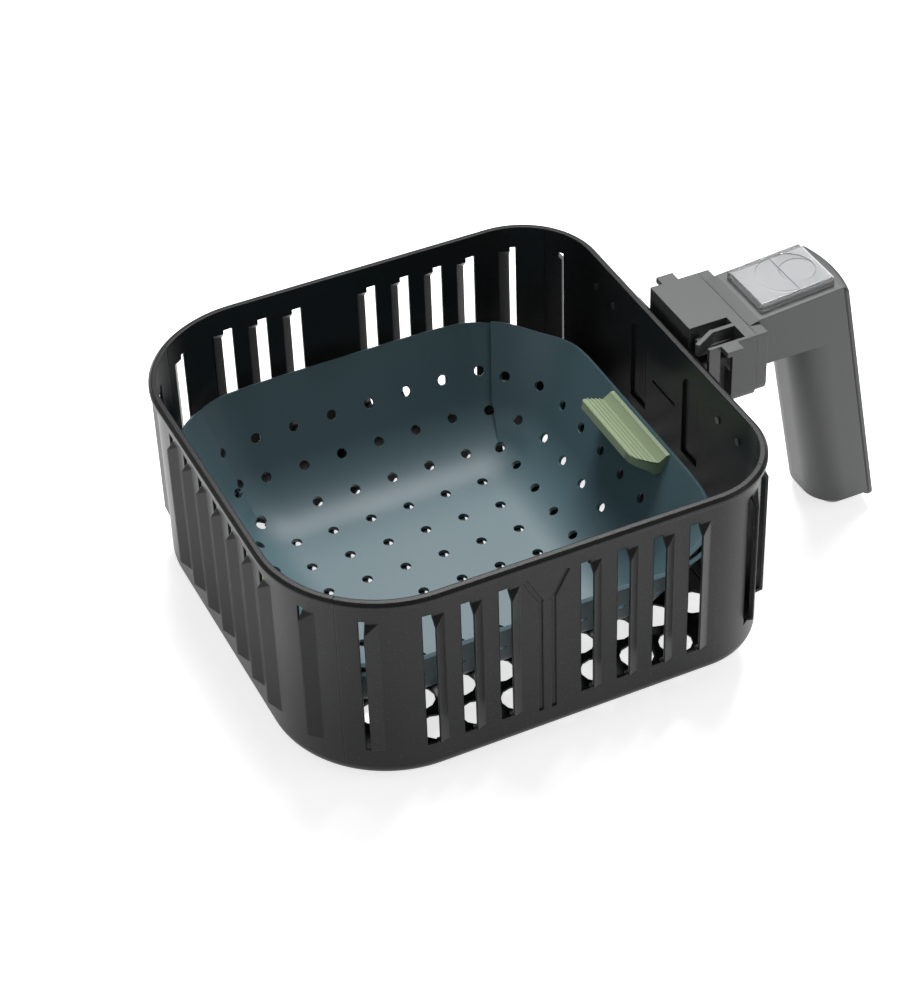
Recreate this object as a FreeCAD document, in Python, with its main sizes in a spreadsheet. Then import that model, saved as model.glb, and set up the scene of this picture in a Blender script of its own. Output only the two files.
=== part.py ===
import FreeCAD, Part
import math
import os
import Sketcher

# Pull-out basket of an air fryer: a louvred sheet-steel basket on a latching handle, with a clear
# guard that slides over the release button, and a silicone liner that lifts out.
# Frame: +Z up, origin at the centre of the base's underside, handle towards -Y, millimetres.

SIZES = {
    # drawn wall and rolled rim
    "wall_half": 107.65, "rim_top": 96.9, "sheet": 1.2, "corner_rear": 53, "corner_front": 35.5,
    "bottom_round": 6, "rim_overhang": 2.35, "rim_depth": 4.4, "rim_bevel": 1.3, "lip_inset": 10.65,
    # perforated base plate
    "margin_inset": 6.6, "seat_gap": 0.3, "hole_pitch": 19, "hole_dia": 15, "hole_web": 2.4,
    # louvres: a slot with a raised flap beside it; the rows start from where the corners' rounds begin
    "slot_width": 4.4, "corner_slot": 2.6, "slot_low": 15.5, "slot_drop": 10.9, "flap_width": 6.6,
    "flap_rise": 3.2, "flap_root": 0.9, "taper_top": 5, "taper_low": 2.5, "flap_end": 1, "louvre_pitch": 16.7,
    "side_rear_first": 2.25, "side_front_first": 8.65, "rear_first": 10.65, "rear_past": 2, "louvre_clear": 6,
    "far_shift": 2.6,
    # the pair of pressed grooves on each side wall
    "groove_mid": 6.6, "groove_gap": 6, "groove_width": 2.2, "groove_depth": 0.7, "groove_low": 12.7,
    "groove_spread": 12.5, "groove_lean": 28,
    # pressed pads and hook slot in the handle wall
    "pad_inner": 15.5, "pad_width": 16, "pad_drop": 9.9, "pad_height": 45, "pad_round": 7, "pad_rise": 1.2,
    "hook_slot_length": 20, "hook_slot_height": 1.6, "hook_slot_drop": 32.9,
    # bracket, short of the corners' rounds, its rivets, from the bracket's legs and ends, and screws
    "bracket_sheet": 1.5, "bracket_stand": 5.85, "bracket_half": 2.15, "web_half": 36, "bracket_drop": 5.9,
    "bracket_height": 19, "rivet_inner": 11.3, "rivet_outer": 5.8, "rivet_drop": 15.4, "rivet_r": 1.1,
    "rivet_head_r": 1.7, "rivet_head": 0.6, "screw_x": 12, "screw_drop": 20, "screw_r": 2,
    "screw_head_r": 3.5, "screw_head": 2.4, "screw_length": 42, "hole_gap": 0.05,
    # latch housing
    "housing_length": 23.9, "housing_half": 26.4, "housing_rise": 5.4, "housing_height": 33.8,
    "housing_round": 5, "edge_round": 1, "drawer_slot_back": 5.5, "drawer_slot_width": 6.2,
    "drawer_slot_depth": 6, "ear_thick": 2.6, "ear_reach": 5.4, "ear_back": 5.9, "ear_width": 8.2,
    "recess_near": 24.7, "recess_width": 16, "recess_length": 18.5, "finger_thick": 2.2,
    "finger_depth": 6, "finger_x": 14.6, "finger_bend": 7.5, "finger_gap": 0.9, "finger_angle": 30,
    # handle
    "collar_thick": 5.4, "collar_height": 32.3, "arm_half": 19.1, "arm_depth": 23.8, "deck_rise": 1.6,
    "deck_slope": 4.5, "lean": 10, "seam_back": 42.9, "grip_depth": 26, "foot_drop": 24,
    "grip_corner": 14.5, "foot_bevel": 7, "cover_edge": 2.6, "cover_crown": 3.2, "cover_step": 3,
    "cap_rise": 3.9, "cavity_half": 14.2, "cavity_wall": 4.7, "cavity_length": 35.7, "cavity_depth": 16.3,
    # bezel, button and guard, measured along the sloping deck from the bezel's front edge
    "bezel_length": 36.3, "bezel_half": 13, "bezel_neck": 1.3, "bezel_top": 2.4, "bezel_undercut": 1.4,
    "plug_depth": 2.5, "plug_gap": 0.15, "guard_half": 15, "guard_length": 36.6, "guard_nose": 1.5,
    "guard_top": 3.9, "guard_plate": 1.2, "slide_gap": 0.3, "thumb_dia": 27, "thumb_depth": 0.5,
    "thumb_bar": 2, "thumb_back": 19.5, "button_back": 25.5, "button_dia": 16, "button_gap": 0.3,
    "button_sink": 0.2, "flange_width": 1.5, "flange_thick": 1.5, "stem_dia": 5, "stem_length": 5.4,
    # release lever, its pin and its leaf spring
    "pivot_back": 9.2, "pivot_drop": 8.3, "pin_r": 1.5, "pin_half": 17, "run_gap": 0.05, "tube_r": 3.5,
    "tube_half": 13.5, "tongue_half": 5, "tongue_length": 26, "tongue_rise": 2, "tongue_thick": 2.5,
    "lever_arm_x": 9.8, "lever_arm_thick": 3, "lever_arm_drop": 1, "lever_arm_height": 4,
    "hook_reach": 36, "hook_length": 3, "hook_rise": 3, "window_gap": 1, "window_rise": 3.5,
    "leaf_width": 8, "leaf_thick": 0.6, "leaf_foot": 8, "leaf_bend": 15, "leaf_tip": 25,
    # liner, its flat base measured in from the wall, lying off the basket's centre, and its two lift tabs
    "liner_x": 1.5, "liner_y": 5.5, "liner_flat": 61.65, "liner_round": 42, "liner_lean": 61, "liner_top": 55.5,
    "liner_crease": 2, "liner_corner": 46, "liner_sheet": 1.8, "liner_gap": 0.3, "slit_width": 1.2,
    "slit_low": 12, "tab_shift": -6, "tab_length": 52, "tab_lip": 2.4, "tab_valley": 5.8, "tab_dip": 2.8,
    "tab_reach": 16, "tab_rise": 1, "tab_edge": 1.5, "tab_thick": 4.2, "tab_foot": 8.2, "tab_drop": 8.5,
    "tab_round": 8,
}
# The wall's heading, in degrees, at the louvres of each rounded corner.
CORNER_LOUVRES = {(1, 1): (33, 60), (-1, 1): (119, 148), (-1, -1): (213, 243), (1, -1): (303, 342)}
BEND_STEPS = 4                   # facets of the liner's bend
OVER = 1.0                       # how far a cutter runs past the face that it opens
CLOSE = 1e-4                     # how near a point lies to a line that it is on

# Datum lines that several pieces share.
HANDLE_WALL = "(-dim.wall_half)"
REAR_START = "(dim.wall_half - dim.corner_rear)"
FRONT_START = "(dim.wall_half - dim.corner_front)"
LINER_FLAT = "(dim.wall_half - dim.liner_flat)"
BRACKET_HALF = "(%s - dim.bracket_half)" % FRONT_START
HOUSING_FRONT = "(-dim.wall_half - dim.bracket_stand)"
HOUSING_REAR = "(%s - dim.housing_length)" % HOUSING_FRONT
HOUSING_TOP = "(dim.rim_top + dim.housing_rise)"
HOUSING_LOW = "(%s - dim.housing_height)" % HOUSING_TOP
COLLAR_REAR = "(%s - dim.collar_thick)" % HOUSING_REAR
CAVITY_FRONT = "(%s - dim.cavity_wall)" % COLLAR_REAR
CAVITY_FLOOR = "(%s - dim.cavity_depth)" % HOUSING_TOP
ARM_LOW = "(%s - dim.arm_depth)" % HOUSING_TOP
PIVOT_Y = "(%s - dim.pivot_back)" % COLLAR_REAR
PIVOT_Z = "(%s - dim.pivot_drop)" % HOUSING_TOP
TONGUE_TOP = "(%s + dim.tongue_rise)" % PIVOT_Z
SLOT_HIGH = "(dim.rim_top - dim.slot_drop)"
RIVET_Z = "(dim.rim_top - dim.rivet_drop)"
SCREW_Z = "(%s - dim.screw_drop)" % HOUSING_TOP
RIVET_INNER = "(dim.web_half + dim.rivet_inner)"
RIVET_OUTER = "(%s - dim.rivet_outer)" % BRACKET_HALF
RIVETS = [RIVET_INNER, RIVET_OUTER, "-" + RIVET_INNER, "-" + RIVET_OUTER]
SCREWS = ["dim.screw_x", "-dim.screw_x"]

doc = FreeCAD.newDocument("air_fryer_basket")
sizes = doc.addObject("Spreadsheet::Sheet", "dim")
for row, (alias, number) in enumerate(SIZES.items(), start=1):
    sizes.set("A%d" % row, alias)
    sizes.set("B%d" % row, str(number))
    sizes.setAlias("B%d" % row, alias)
doc.recompute()


def value(expression):
    """The number that an expression on the sheet comes to."""
    return float(sizes.evalExpression(expression))


def past(expression, steps=1):
    """An expression moved on by the cutters' overrun; negative steps move it back."""
    return "(%s) + %g" % (expression, steps * OVER)


def less(expression):
    return "-(%s)" % expression


def bind(item, **expressions):
    """Bind properties to sheet expressions; a double underscore stands for a dot."""
    for name, expression in expressions.items():
        item.setExpression(name.replace("__", "."), str(expression))
    return item


def place(item, at, turn="0", axis=(0, 0, 1)):
    """Bind an object's place, and its turn in degrees about an axis."""
    item.Placement = FreeCAD.Placement(FreeCAD.Vector(), FreeCAD.Rotation(FreeCAD.Vector(*axis), 1))
    x, y, z = at
    return bind(item, Placement__Rotation__Angle=turn, Placement__Base__x=x, Placement__Base__y=y,
                Placement__Base__z=z)


def box(name, low, high):
    """A box between two corners."""
    item = doc.addObject("Part::Box", name)
    length, width, height = ["(%s) - (%s)" % (b, a) for a, b in zip(low, high)]
    return place(bind(item, Length=length, Width=width, Height=height), low)


def mirrored_boxes(name, low, high):
    """A box on the +X side and its mirror image."""
    return [box(name + "_far", low, high),
            box(name + "_near", (less(high[0]), low[1], low[2]), (less(low[0]), high[1], high[2]))]


def turned_box(name, low, high, at, turn, axis=(0, 0, 1)):
    """A box drawn about its own origin, then turned and moved."""
    return place(group(name, [box(name + "_square", low, high)]), at, turn, axis)


def cylinder(name, radius, length, at, axis="Z"):
    item = doc.addObject("Part::Cylinder", name)
    turns = {"Z": ("0", (0, 0, 1)), "X": ("90", (0, 1, 0)), "Y": ("-90", (1, 0, 0))}
    return place(bind(item, Radius=radius, Height=length), at, *turns[axis])


def group(name, items):
    item = doc.addObject("Part::Compound", name)
    item.Links = items
    return item


def fuse(name, items):
    item = doc.addObject("Part::MultiFuse", name)
    item.Shapes = items
    return item


def cut(name, base, tools):
    item = doc.addObject("Part::Cut", name)
    item.Base = base
    item.Tool = tools[0] if len(tools) == 1 else fuse(name + "_tools", tools)
    return item


def sketch_on(body, role, offset="0"):
    """A sketch on one of the body's own planes, moved along that plane's normal."""
    plane = next(f for f in body.Origin.OriginFeatures if f.Role == role)
    sketch = body.newObject("Sketcher::SketchObject", body.Name + "_outline")
    sketch.AttachmentSupport = [(plane, "")]
    sketch.MapMode = "FlatFace"
    return bind(sketch, AttachmentOffset__Base__z=offset)


def hold(sketch, kind, *where, expression):
    """A driving constraint whose value is a sheet expression."""
    index = sketch.addConstraint(Sketcher.Constraint(kind, *where, value(expression)))
    sketch.setExpression("Constraints[%d]" % index, expression)


def hold_point(sketch, edge, x=None, y=None):
    """Hold an edge's first point at a place measured from the sketch's origin."""
    for kind, expression in (("DistanceX", x), ("DistanceY", y)):
        if expression is None:
            continue
        if value(expression) >= 0:
            hold(sketch, kind, -1, 1, edge, 1, expression=expression)
        else:
            hold(sketch, kind, edge, 1, -1, 1, expression=less(expression))


def outline(sketch, edges):
    """Add edges that follow one another round a closed outline; arcs join their lines smoothly."""
    numbers = [sketch.addGeometry(edge) for edge in edges]
    for i, number in enumerate(numbers):
        following = (i + 1) % len(edges)
        smooth = isinstance(edges[i], Part.ArcOfCircle) or isinstance(edges[following], Part.ArcOfCircle)
        kind = "Tangent" if smooth else "Coincident"
        sketch.addConstraint(Sketcher.Constraint(kind, number, 2, numbers[following], 1))
    return numbers


def level_lines(sketch, flat, upright):
    for kind, lines in (("Horizontal", flat), ("Vertical", upright)):
        for line in lines:
            sketch.addConstraint(Sketcher.Constraint(kind, line))


def point(x, y):
    return FreeCAD.Vector(x, y, 0)


def quarter(middle, radius, turn):
    """A quarter circle that starts at a number of right angles from +X."""
    circle = Part.Circle(middle, FreeCAD.Vector(0, 0, 1), radius)
    return Part.ArcOfCircle(circle, turn * math.pi / 2, (turn + 1) * math.pi / 2)


def rounded_square(sketch, half, rear, front):
    """A square outline with one corner radius at the rear and another on the handle's side."""
    side, edges = value(half), []
    corners = [(1, 1, rear), (-1, 1, rear), (-1, -1, front), (1, -1, front)]
    arcs = [quarter(point(x * (side - value(r)), y * (side - value(r))), value(r), turn)
            for turn, (x, y, r) in enumerate(corners)]
    for turn, arc in enumerate(arcs):
        edges += [arc, Part.LineSegment(arc.EndPoint, arcs[(turn + 1) % 4].StartPoint)]
    numbers = outline(sketch, edges)
    back, near, handle, far = numbers[1::2]
    level_lines(sketch, (back, handle), (near, far))
    for number, (x, y, radius) in zip(numbers[::2], corners):
        hold(sketch, "Radius", number, expression=radius)
    hold_point(sketch, back, y=half)
    hold_point(sketch, near, x=less(half))
    hold_point(sketch, handle, y=less(half))
    hold_point(sketch, far, x=half)


def polygon(sketch, points):
    """A closed outline through points, each a pair of sheet expressions."""
    spots = [point(value(x), value(y)) for x, y in points]
    numbers = outline(sketch, [Part.LineSegment(a, b) for a, b in zip(spots, spots[1:] + spots[:1])])
    for number, (x, y) in zip(numbers, points):
        hold_point(sketch, number, x, y)


def pad(body, sketch, length, middle=False):
    item = body.newObject("PartDesign::Pad", body.Name + "_pad")
    item.Profile = sketch
    item.Midplane = middle
    return bind(item, Length=length)


def leaning_pad(body, sketch, height):
    """A pad that follows the grip's lean."""
    item = pad(body, sketch, height)
    item.UseCustomVector = True
    item.AlongSketchNormal = True
    item.Direction = FreeCAD.Vector(0, 0, 1)
    return bind(item, Direction__y="tan(dim.lean)")


def edges_where(feature, test):
    """Names of the edges whose ends and middle all pass a test."""
    doc.recompute()
    names = []
    for number, edge in enumerate(feature.Shape.Edges, start=1):
        middle = edge.valueAt((edge.FirstParameter + edge.LastParameter) / 2)
        if all(test(p) for p in [v.Point for v in edge.Vertexes] + [middle]):
            names.append("Edge%d" % number)
    return names


def round_edges(body, radius, test):
    base = body.Tip
    item = body.newObject("PartDesign::Fillet", body.Name + "_round")
    item.Base = (base, edges_where(base, test))
    return bind(item, Radius=radius)


def bevel_edges(body, size, test):
    base = body.Tip
    item = body.newObject("PartDesign::Chamfer", body.Name + "_bevel")
    item.Base = (base, edges_where(base, test))
    return bind(item, Size=size)


def at_height(expression):
    height = value(expression)
    return lambda p: abs(p.z - height) < CLOSE


def on_line(z, *xs):
    """A test for points at one height and one of a few places across."""
    height, places = value(z), [value(x) for x in xs]
    return lambda p: abs(p.z - height) < CLOSE and min(abs(p.x - x) for x in places) < CLOSE


def prism(name, shape, low, high, foot_round=None):
    """A rounded square padded between two heights, its lower edge rounded where that is asked for."""
    body = doc.addObject("PartDesign::Body", name)
    sketch = sketch_on(body, "XY_Plane", low)
    rounded_square(sketch, *shape)
    pad(body, sketch, "(%s) - (%s)" % (high, low))
    if foot_round:
        round_edges(body, foot_round, at_height(low))
    return body


def inset(distance):
    """The wall's outline moved inwards: half its width, and its rear and front corner radii."""
    return ["dim.%s - (%s)" % (size, distance) for size in ("wall_half", "corner_rear", "corner_front")]


def liner_half(wall, height):
    """How far the leaning flaps stand from the liner's centre at a height above its underside.

    The face lies a wall's thickness inside the liner's outer face."""
    bend = "(dim.liner_round - (%s))" % wall
    straight = "((%s) - (%s) - %s * (1 - cos(dim.liner_lean)))" % (height, wall, bend)
    return "(%s + %s * sin(dim.liner_lean) + %s / tan(dim.liner_lean))" % (LINER_FLAT, bend, straight)


def bowl(name, wall, top):
    """One face of the liner: a square lofted up from a flat base through a bend to leaning flaps."""
    body = doc.addObject("PartDesign::Body", name)
    low, bend = "(dim.sheet + dim.liner_gap)", "(dim.liner_round - (%s))" % wall
    sections = []
    for step in range(BEND_STEPS + 1):
        turn = "(dim.liner_lean * %d / %d)" % (step, BEND_STEPS)
        sections.append(("%s + %s + %s * (1 - cos(%s))" % (low, wall, bend, turn),
                         "(%s + %s * sin(%s))" % (LINER_FLAT, bend, turn)))
    sections.append((top, liner_half(wall, "%s - %s" % (top, low))))
    spread = "(%s - %s)" % (liner_half("0", "dim.liner_top - %s" % low), LINER_FLAT)
    sketches = []
    for height, half in sections:
        sketch = sketch_on(body, "XY_Plane", height)
        share = "(%s - %s) / %s" % (half, LINER_FLAT, spread)
        corner = "dim.liner_crease + (dim.liner_corner - dim.liner_crease) * %s" % share
        rounded_square(sketch, half, corner, corner)
        sketches.append(sketch)
    loft = body.newObject("PartDesign::AdditiveLoft", name + "_loft")
    loft.Profile, loft.Sections, loft.Ruled = sketches[0], sketches[1:], True
    return bind(body, Placement__Base__x="dim.liner_x", Placement__Base__y="dim.liner_y")


def quarters(name, form, centre):
    """Part a form along its diagonals into one piece for each side."""
    pieces = []
    for side, heading in {"far": 0, "rear": 90, "near": 180, "handle": 270}.items():
        sector = turned_box("sector_" + side, ("0", "0", past("0", -1)),
                            ("3 * dim.wall_half", "3 * dim.wall_half", past("dim.rim_top")),
                            (centre[0], centre[1], "0"), "%d" % (heading - 45))
        piece = doc.addObject("Part::Common", "%s_%s" % (name, side))
        piece.Base, piece.Tool = form, sector
        pieces.append(piece)
    return pieces


def block(name, low, high, radius, test):
    """A box body with some of its edges rounded."""
    body = doc.addObject("PartDesign::Body", name)
    sketch = sketch_on(body, "XY_Plane", low[2])
    polygon(sketch, [(low[0], low[1]), (high[0], low[1]), (high[0], high[1]), (low[0], high[1])])
    pad(body, sketch, "(%s) - (%s)" % (high[2], low[2]))
    round_edges(body, radius, test)
    return body


def louvre(name, at, heading, width="dim.slot_width"):
    """One louvre: the raised flap, and the slot with the hollow behind the flap."""
    flap = doc.addObject("Part::Wedge", name + "_flap")
    bind(flap, Xmin="-dim.flap_width", Xmax=0, X2min=0, X2max=0, Ymin="-dim.flap_root",
         Ymax="dim.flap_rise", Zmin="dim.slot_low", Zmax=SLOT_HIGH,
         Z2min="dim.slot_low + dim.taper_low", Z2max=SLOT_HIGH + " - dim.taper_top")
    slope = "((dim.flap_rise + dim.flap_root) / dim.flap_width)"
    rise = "(dim.flap_rise - dim.sheet * sqrt(1 + %s^2))" % slope
    hollow = doc.addObject("Part::Wedge", name + "_hollow")
    bind(hollow, Xmin="-(%s + dim.sheet + dim.flap_end) / %s" % (rise, slope), Xmax="dim.flap_end",
         X2min=0, X2max="dim.flap_end", Ymin="-dim.sheet - dim.flap_end", Ymax=rise,
         Zmin="dim.slot_low + dim.flap_end", Zmax=SLOT_HIGH + " - dim.flap_end",
         Z2min="dim.slot_low + dim.taper_low + dim.flap_end",
         Z2max=SLOT_HIGH + " - dim.taper_top - dim.flap_end")
    slot = box(name + "_slot", ("0", "-dim.flap_rise - dim.sheet", "dim.slot_low"),
               (width, "dim.flap_rise", SLOT_HIGH))
    opening = fuse(name + "_opening", [hollow, slot])
    for item in (flap, opening):
        place(item, at, "%s - 90" % heading)
    return flap, opening


def louvre_row(first, step, room):
    """Places of louvres along a wall, from a first one on, as many as the room past it holds."""
    count = 1 + int(value("(%s) / dim.louvre_pitch" % room))
    return ["%s + %d * dim.louvre_pitch" % (first, step * i) for i in range(count)]


def all_louvres():
    """Every louvre of the wall, as flaps and openings; all open clockwise seen from above."""
    pairs = []
    groove_edge = "((dim.groove_gap + dim.groove_width) / 2 + dim.louvre_clear)"
    last = "(%s + dim.side_rear_first)" % REAR_START
    side_rear = louvre_row(last, -1, "%s - dim.flap_width - dim.groove_mid - %s" % (last, groove_edge))
    first = "(dim.side_front_first - %s)" % FRONT_START
    side_front = louvre_row(first, 1, "dim.groove_mid - %s - dim.slot_width - %s" % (groove_edge, first))
    for y in side_rear + side_front:
        pairs.append(louvre("near_louvre", ("-dim.wall_half", y, "0"), 180))
        pairs.append(louvre("far_louvre", ("dim.wall_half", y + " + dim.far_shift", "0"), 0))
    end = "(%s - dim.rear_first)" % REAR_START
    for x in louvre_row(end, -1, "%s + %s + dim.rear_past" % (end, REAR_START)):
        pairs.append(louvre("rear_louvre", (x, "dim.wall_half", "0"), 90))
    for (across, along), headings in CORNER_LOUVRES.items():
        radius = "dim.corner_rear" if along > 0 else "dim.corner_front"
        for heading in headings:
            x = "%d * (dim.wall_half - %s) + %s * cos(%d)" % (across, radius, radius, heading)
            y = "%d * (dim.wall_half - %s) + %s * sin(%d)" % (along, radius, radius, heading)
            pairs.append(louvre("corner_louvre", (x, y, "0"), heading, "dim.corner_slot"))
    return [flap for flap, opening in pairs], [opening for flap, opening in pairs]


def side_grooves():
    """The pair of grooves pressed into each side wall, spreading apart at the top."""
    cutters = []
    half, bend = "dim.groove_width / 2", SLOT_HIGH + " - dim.groove_spread"
    reach = "dim.groove_spread / cos(dim.groove_lean)"
    floor, outside = "dim.wall_half - dim.groove_depth", past("dim.wall_half")
    for wall, (low, high) in {"near": (less(outside), less(floor)), "far": (floor, outside)}.items():
        for sign in (1, -1):
            y = "(dim.groove_mid + %d * dim.groove_gap / 2)" % sign
            cutters.append(box("groove_" + wall, (low, "%s - %s" % (y, half), "dim.groove_low"),
                               (high, "%s + %s" % (y, half), bend)))
            cutters.append(turned_box("groove_end_" + wall, (low, "-" + half, "-" + half),
                                      (high, half, reach), ("0", y, bend),
                                      "%d * dim.groove_lean" % -sign, (1, 0, 0)))
    return cutters


def handle_wall_pads():
    """Two pads with rounded tops, pressed outwards: their raised sides and the hollows inside."""
    raised, hollows = [], []
    top = "(dim.rim_top - dim.pad_drop)"
    low = top + " - dim.pad_height"
    outer = "(dim.pad_inner + dim.pad_width)"
    sides = {"far": ("dim.pad_inner", outer), "near": (less(outer), "-dim.pad_inner")}
    for name, (left, right) in sides.items():
        raised.append(block("pad_" + name, (left, HANDLE_WALL + " - dim.pad_rise", low),
                            (right, HANDLE_WALL + " + dim.flap_root", top),
                            "dim.pad_round", on_line(top, left, right)))
        left, right = left + " + dim.sheet", right + " - dim.sheet"
        hollows.append(block("pad_hollow_" + name,
                             (left, HANDLE_WALL + " - dim.pad_rise + dim.sheet", low + " + dim.sheet"),
                             (right, HANDLE_WALL + " + 2 * dim.sheet", top + " - dim.sheet"),
                             "dim.pad_round - dim.sheet", on_line(top + " - dim.sheet", left, right)))
    return raised, hollows


def rivet_shafts(gap="0"):
    """Shafts at the four rivet places, as long as the wall and the bracket are thick."""
    return [cylinder("rivet_shaft", "dim.rivet_r + " + gap, "dim.sheet + dim.bracket_sheet",
                     (x, HANDLE_WALL + " - dim.bracket_sheet", RIVET_Z), "Y") for x in RIVETS]


def screw_holes(rear, front):
    return [cylinder("screw_hole", "dim.screw_r + dim.hole_gap", "(%s) - (%s)" % (front, rear),
                     (x, rear, SCREW_Z), "Y") for x in SCREWS]


def basket_walls():
    """The drawn and louvred wall with its rolled rim, and the lip that carries the base.

    It is parted at the middle of its four corners into one panel for each side."""
    flaps, openings = all_louvres()
    raised, hollows = handle_wall_pads()
    rim_low = "dim.rim_top - dim.rim_depth"
    outer = prism("wall_outer", inset("0"), "0", "dim.rim_top", "dim.bottom_round")
    rim = prism("rim", inset("-dim.rim_overhang"), rim_low, "dim.rim_top")
    bevel_edges(rim, "dim.rim_bevel", lambda p: at_height("dim.rim_top")(p) or at_height(rim_low)(p))
    inner = prism("wall_inner", inset("dim.sheet"), "dim.sheet", past("dim.rim_top"),
                  "dim.bottom_round - dim.sheet")
    opening = prism("lip_opening", inset("dim.lip_inset"), past("0", -1), past("dim.sheet"))
    drawn = cut("wall_drawn", fuse("wall_form", [outer, rim] + flaps + raised), [inner, opening])
    length, height = "dim.hook_slot_length / 2", "dim.hook_slot_height / 2"
    middle = "dim.rim_top - dim.hook_slot_drop"
    hook_slot = box("hook_slot", ("-" + length, past(HANDLE_WALL, -1), "%s - %s" % (middle, height)),
                    (length, HANDLE_WALL + " + 2 * dim.sheet", "%s + %s" % (middle, height)))
    pierced = openings + side_grooves() + hollows + [hook_slot] + rivet_shafts("dim.hole_gap")
    wall = cut("wall_pierced", drawn, pierced)
    return quarters("basket_wall", wall, ("0", "0"))


def basket_base():
    """A perforated plate that rests on the wall's lip, pressed down flush inside it."""
    dish = "(dim.lip_inset + dim.seat_gap)"
    plate = fuse("base_form", [prism("base_margin", inset("dim.margin_inset"), "dim.sheet", "2 * dim.sheet"),
                               prism("base_dish", inset(dish), "0", "2 * dim.sheet")])
    hollow = prism("base_hollow", inset(dish + " + dim.sheet"), "dim.sheet", past("2 * dim.sheet"))
    return cut("basket_base", cut("base_pressed", plate, [hollow]), [base_punch(dish + " + dim.sheet")])


def base_punch(edge):
    """The square grid of twelve-sided holes, as far out as they fit with a web at the dish's edge."""
    pitch, radius = value("dim.hole_pitch"), value("dim.hole_dia") / 2
    corners = [FreeCAD.Vector(radius * math.cos(i * math.pi / 6), radius * math.sin(i * math.pi / 6), -OVER)
               for i in range(13)]
    plug = Part.Face(Part.makePolygon(corners)).extrude(FreeCAD.Vector(0, 0, value("dim.sheet") + 2 * OVER))
    reach = value("dim.wall_half - dim.hole_web - (%s)" % edge) - radius
    count = int(reach / pitch + 0.5)
    places = [(i + 0.5) * pitch for i in range(-count, count)]
    holes = []
    for x in places:
        for y in places:
            straight = value("dim.wall_half - dim.%s" % ("corner_rear" if y > 0 else "corner_front"))
            out = math.hypot(max(abs(x) - straight, 0), max(abs(y) - straight, 0))
            if out <= reach - straight:
                holes.append(plug.translated(FreeCAD.Vector(x, y, 0)))
    punch = doc.addObject("Part::Feature", "base_punch")
    punch.Shape = Part.makeCompound(holes)
    return punch


def handle_bracket():
    """A hat-shaped steel bracket: two wings riveted to the wall, and a web that carries the housing."""
    high = "dim.rim_top - dim.bracket_drop"
    low = high + " - dim.bracket_height"
    inner = "dim.web_half - dim.bracket_sheet"
    web_rear = HOUSING_FRONT + " + dim.bracket_sheet"
    wings = mirrored_boxes("bracket_wing", (inner, HANDLE_WALL + " - dim.bracket_sheet", low),
                           (BRACKET_HALF, HANDLE_WALL, high))
    legs = mirrored_boxes("bracket_leg", (inner, HOUSING_FRONT, low), ("dim.web_half", HANDLE_WALL, high))
    web = box("bracket_web", ("-dim.web_half", HOUSING_FRONT, low), ("dim.web_half", web_rear, high))
    holes = rivet_shafts("dim.hole_gap") + screw_holes(past(HOUSING_FRONT, -1), past(web_rear))
    return cut("handle_bracket", fuse("bracket_form", wings + legs + [web]), holes)


def bracket_rivets():
    """Four rivets through the wall and the bracket's wings."""
    ends = [HANDLE_WALL + " + dim.sheet", HANDLE_WALL + " - dim.bracket_sheet - dim.rivet_head"]
    rivets = []
    for x, shaft in zip(RIVETS, rivet_shafts()):
        heads = [cylinder("rivet_head", "dim.rivet_head_r", "dim.rivet_head", (x, y, RIVET_Z), "Y")
                 for y in ends]
        rivets.append(fuse("rivet", [shaft] + heads))
    return group("bracket_rivets", rivets)


def lever_window(rear, front):
    """The way through for the release lever's front arm."""
    outer = "-dim.lever_arm_x - dim.lever_arm_thick - dim.window_gap"
    return box("lever_window", (outer, rear, CAVITY_FLOOR + " + dim.window_gap / 2"),
               ("-dim.lever_arm_x + dim.window_gap", front, PIVOT_Z + " + dim.window_rise"))


def latch_housing():
    """The block behind the rim: ears and upright slots for the drawer front, and a latch recess."""
    half, ear_low = "dim.housing_half", HOUSING_TOP + " - dim.ear_thick"
    body = block("housing_block", (less(half), HOUSING_REAR, HOUSING_LOW), (half, HOUSING_FRONT, HOUSING_TOP),
                 "dim.housing_round", on_line(HOUSING_LOW, half, less(half)))
    ear_front = HOUSING_FRONT + " - dim.ear_back"
    ears = mirrored_boxes("ear", (half + " - dim.edge_round", ear_front + " - dim.ear_width", ear_low),
                          (half + " + dim.ear_reach", ear_front, HOUSING_TOP))
    slot_front = HOUSING_FRONT + " - dim.drawer_slot_back"
    slots = mirrored_boxes("drawer_slot", (half + " - dim.drawer_slot_depth",
                                           slot_front + " - dim.drawer_slot_width", past(HOUSING_LOW, -1)),
                           (past(half), slot_front, ear_low))
    recess_rear = HOUSING_FRONT + " - dim.recess_length"
    recess = box("recess", ("-dim.recess_near", recess_rear, CAVITY_FLOOR),
                 ("-dim.recess_near + dim.recess_width", past(HOUSING_FRONT), past(HOUSING_TOP)))
    window = lever_window(past(HOUSING_REAR, -1), past(recess_rear))
    screws = screw_holes(past(HOUSING_REAR, -1), past(HOUSING_FRONT))
    hollowed = cut("housing_hollowed", fuse("housing_form", [body] + ears), slots + [recess, window] + screws)
    return fuse("latch_housing", [hollowed] + latch_finger(recess_rear))


def latch_finger(root):
    """The thin finger in the latch recess, bent halfway towards the side."""
    half, low = "dim.finger_thick / 2", HOUSING_TOP + " - dim.finger_depth"
    bend = HOUSING_FRONT + " - dim.finger_bend"
    tip = HANDLE_WALL + " - dim.rim_overhang - dim.finger_gap"
    reach = "((%s) - (%s)) / cos(dim.finger_angle)" % (tip, bend)
    return [box("finger_root", ("-dim.finger_x - " + half, root, low),
                ("-dim.finger_x + " + half, bend, HOUSING_TOP)),
            turned_box("finger_tip", ("-" + half, "-" + half, low), (half, reach, HOUSING_TOP),
                       ("-dim.finger_x", bend, "0"), "dim.finger_angle")]


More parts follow.
